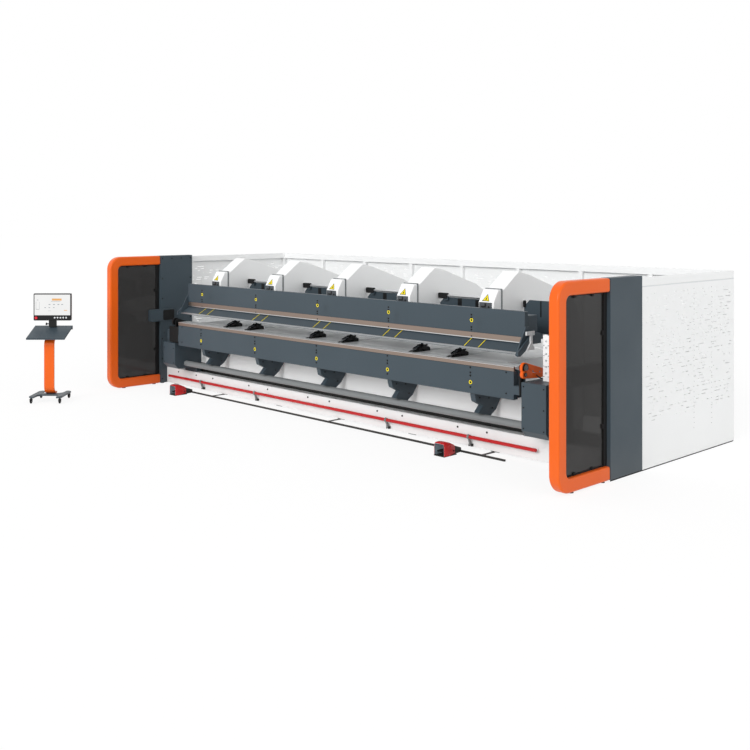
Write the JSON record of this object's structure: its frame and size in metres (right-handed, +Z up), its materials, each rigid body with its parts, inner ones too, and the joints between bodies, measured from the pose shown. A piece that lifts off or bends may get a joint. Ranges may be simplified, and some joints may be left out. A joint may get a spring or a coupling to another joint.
{
  "type": "double folding machine",
  "caption": "Long sheet metal folding machine with upper and lower folding beams, clamp, back gauge, guards, walled rear and operator terminal.",
  "frame": {"origin": "on the floor under the middle of the machine, halfway between guard fronts and rear wall", "axes": "+X along the beams to the right as the operator faces the machine, +Y to the rear, +Z up"},
  "size_m": [8.5037, 4.9676, 2.05],
  "materials": {
    "white_enamel": "powder coated, satin",
    "slate_enamel": "powder coated, fine texture",
    "orange_enamel": "powder coated, satin",
    "black_enamel": "powder coated, matt",
    "red_enamel": "gloss enamel",
    "tool_steel": "ground tool steel",
    "bright_steel": "brushed",
    "grey_steel": "primed grey, satin",
    "smoked_pane": "smoked acrylic, polished",
    "black_rubber": "moulded",
    "screen": "screen housing, satin black"
  },
  "bodies": {
    "machine": {"base_beam": "white_enamel", "base_feet": "grey_steel", "base_channel": "black_enamel", "front_tube": "grey_steel", "support_brackets": "slate_enamel", "scrap_chute": "white_enamel", "c_frame_1": "white_enamel", "c_frame_2": "white_enamel", "c_frame_3": "white_enamel", "c_frame_4": "white_enamel", "c_frame_5": "white_enamel", "clamp_guides": "bright_steel", "lower_clamp_beam": "slate_enamel", "lower_clamp_tool": "tool_steel", "support_table": "white_enamel", "gauge_rails": "grey_steel", "left_guard_frame": "orange_enamel", "right_guard_frame": "orange_enamel", "left_guard_pane": "smoked_pane", "right_guard_pane": "smoked_pane", "left_column": "slate_enamel", "right_column": "slate_enamel", "left_side_wall": "white_enamel", "right_side_wall": "white_enamel", "rear_wall": "white_enamel", "left_top_rail": "white_enamel", "right_top_rail": "white_enamel", "rear_top_rail": "white_enamel", "wall_posts": "white_enamel", "left_drive_box": "slate_enamel", "right_drive_box": "slate_enamel", "left_bearing": "grey_steel", "drive_levers": "orange_enamel", "hole_strip": "white_enamel", "floor_rail": "grey_steel", "trip_brackets": "grey_steel", "pedal_hoods": "red_enamel", "console_base": "slate_enamel", "console_casters": "black_rubber", "console_column": "orange_enamel", "console_shelf": "slate_enamel", "console_monitor": "screen"},
    "upper_clamp": {"upper_clamp_beam": "slate_enamel", "clamp_shields": "slate_enamel", "clamp_nose": "slate_enamel", "arm_heads": "white_enamel", "clamp_rods": "bright_steel", "upper_end_brackets": "grey_steel"},
    "upper_fold": {"upper_folding_beam": "slate_enamel", "upper_folding_tool": "tool_steel"},
    "lower_fold": {"lower_folding_beam": "slate_enamel", "lower_end_ears": "black_enamel", "lower_folding_tool": "tool_steel", "left_arm_cover": "black_enamel"},
    "back_gauge": {"gauge_carriages": "grey_steel", "grippers": "black_enamel"},
    "trip": {"trip_bar": "red_enamel"},
    "left_pedal": {"left_treadle": "black_rubber"},
    "right_pedal": {"right_treadle": "black_rubber"}
  },
  "joints": [
    {"name": "clamp_lift", "type": "slide", "parent": "machine", "child": "upper_clamp", "axis": [0, 0, 1], "range_m": [-0.12, 0.05]},
    {"name": "upper_beam_fold", "type": "hinge", "parent": "upper_clamp", "child": "upper_fold", "pos_m": [0, -1.102, 1.202], "axis": [-1, 0, 0], "range_deg": [-135, 0]},
    {"name": "lower_beam_fold", "type": "hinge", "parent": "machine", "child": "lower_fold", "pos_m": [0, -1.11, 1.074], "axis": [-1, 0, 0], "range_deg": [0, 135]},
    {"name": "gauge_travel", "type": "slide", "parent": "machine", "child": "back_gauge", "axis": [0, 1, 0], "range_m": [0, 0.9]},
    {"name": "trip_bar_push", "type": "hinge", "parent": "machine", "child": "trip", "pos_m": [0, -0.785, 0.045], "axis": [-1, 0, 0], "range_deg": [0, 12], "stiffness_Nm_per_rad": 900},
    {"name": "left_treadle_press", "type": "hinge", "parent": "machine", "child": "left_pedal", "pos_m": [-3.08, -1.14, 0.046], "axis": [1, 0, 0], "range_deg": [0, 8], "stiffness_Nm_per_rad": 40},
    {"name": "right_treadle_press", "type": "hinge", "parent": "machine", "child": "right_pedal", "pos_m": [2.3, -1.14, 0.046], "axis": [1, 0, 0], "range_deg": [0, 8], "stiffness_Nm_per_rad": 40}
  ]
}
